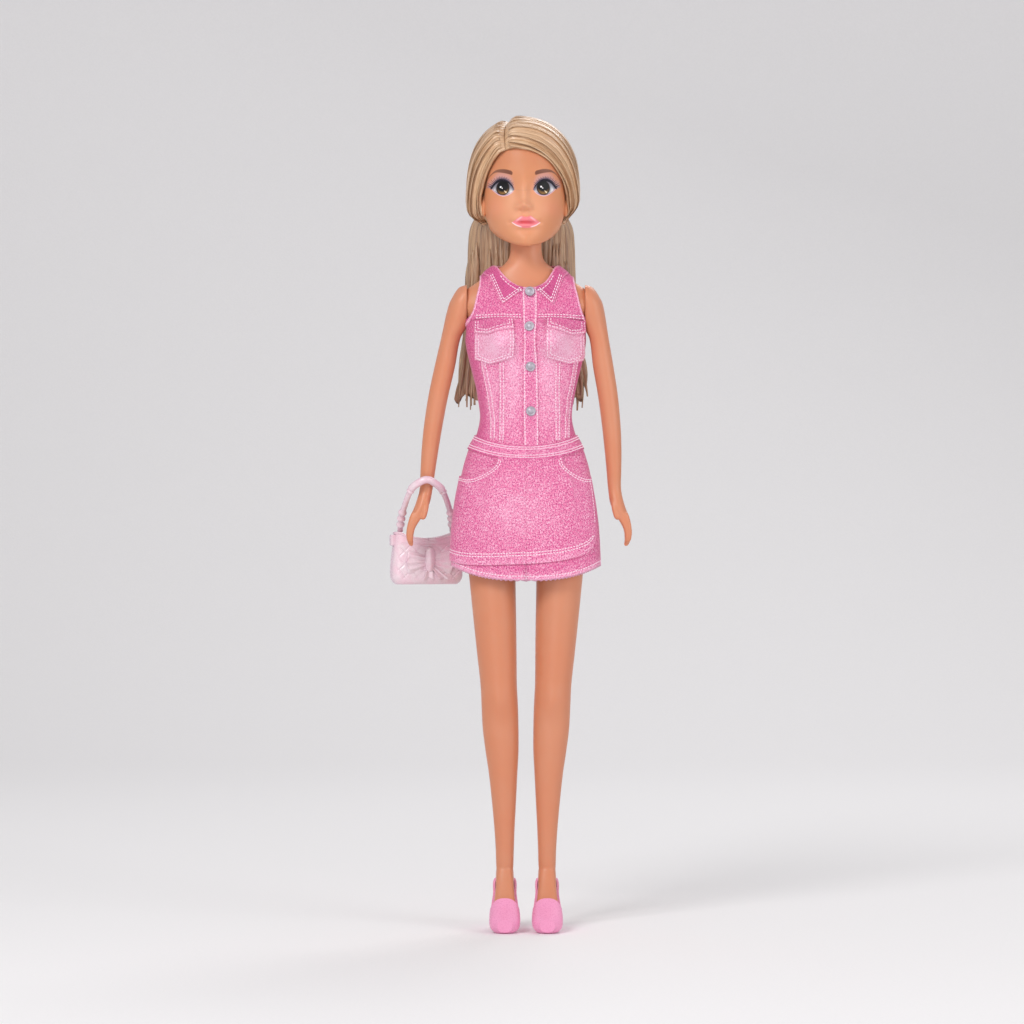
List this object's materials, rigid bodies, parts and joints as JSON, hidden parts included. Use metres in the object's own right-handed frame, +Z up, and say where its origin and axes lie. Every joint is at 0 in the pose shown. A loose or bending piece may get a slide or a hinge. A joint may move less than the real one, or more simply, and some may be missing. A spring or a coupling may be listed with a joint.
{
  "type": "fashion doll",
  "caption": "Standing fashion doll with blonde side-parted hair, a sleeveless pink denim-look shirt dress and a small moulded handbag on its wrist; head, arms and legs turn.",
  "frame": {"origin": "middle of the underside of the overall box, on the surface that the doll stands on", "axes": "+Z up, the doll faces -Y and its left hand is at +X"},
  "size_m": [0.0872, 0.0388, 0.2923],
  "materials": {
    "torso_plastic": "satin",
    "face_vinyl": "satin",
    "limb_vinyl": "satin",
    "hair": "silky fibre",
    "denim": "printed woven cloth",
    "denim_trim": "printed woven cloth",
    "button": "metallic",
    "pearl_plastic": "pearl",
    "shoe_plastic": "gloss",
    "knob_plastic": "plain"
  },
  "bodies": {
    "torso": {"torso_front": "torso_plastic", "torso_back": "torso_plastic", "neck_knob": "knob_plastic", "hip_pin": "knob_plastic", "bodice": "denim", "waistband": "denim_trim", "skirt": "denim", "skirt_overlap": "denim", "placket": "denim_trim", "collar_left": "denim_trim", "collar_right": "denim_trim", "pocket_left": "denim_trim", "pocket_right": "denim_trim", "pocket_flap_left": "denim_trim", "pocket_flap_right": "denim_trim", "button_1": "button", "button_2": "button", "button_3": "button", "button_4": "button", "back_closure": "denim_trim"},
    "head": {"head": "face_vinyl", "hair_left": "hair", "hair_right": "hair", "hair_back": "hair"},
    "arm_left": {"arm_left": "limb_vinyl"},
    "arm_right": {"arm_right": "limb_vinyl"},
    "leg_left": {"leg_left": "limb_vinyl", "shoe_left": "shoe_plastic"},
    "leg_right": {"leg_right": "limb_vinyl", "shoe_right": "shoe_plastic"},
    "bag": {"bag_body": "pearl_plastic", "bag_handle": "pearl_plastic", "bag_bow": "pearl_plastic"}
  },
  "joints": [
    {"name": "neck_turn", "type": "hinge", "parent": "torso", "child": "head", "pos_m": [0.00581, 0.0002, 0.249], "axis": [0, 0, 1], "range_deg": [-90, 90], "deforming": ["hair_back"]},
    {"name": "shoulder_turn_left", "type": "hinge", "parent": "torso", "child": "arm_left", "pos_m": [0.02681, 0, 0.225], "axis": [1, 0, 0], "continuous": true},
    {"name": "shoulder_turn_right", "type": "hinge", "parent": "torso", "child": "arm_right", "pos_m": [-0.01519, 0, 0.225], "axis": [1, 0, 0], "continuous": true},
    {"name": "hip_swing_left", "type": "hinge", "parent": "torso", "child": "leg_left", "pos_m": [0.01894, 0, 0.153], "axis": [-1, 0, 0], "range_deg": [-20, 95], "deforming": ["skirt", "skirt_overlap"]},
    {"name": "hip_swing_right", "type": "hinge", "parent": "torso", "child": "leg_right", "pos_m": [-0.00731, 0, 0.153], "axis": [-1, 0, 0], "range_deg": [-20, 95], "deforming": ["skirt", "skirt_overlap"]},
    {"name": "bag_swing", "type": "hinge", "parent": "arm_right", "child": "bag", "pos_m": [-0.02974, -0.00517, 0.1612], "axis": [1, 0, 0], "range_deg": [0, 90]}
  ]
}
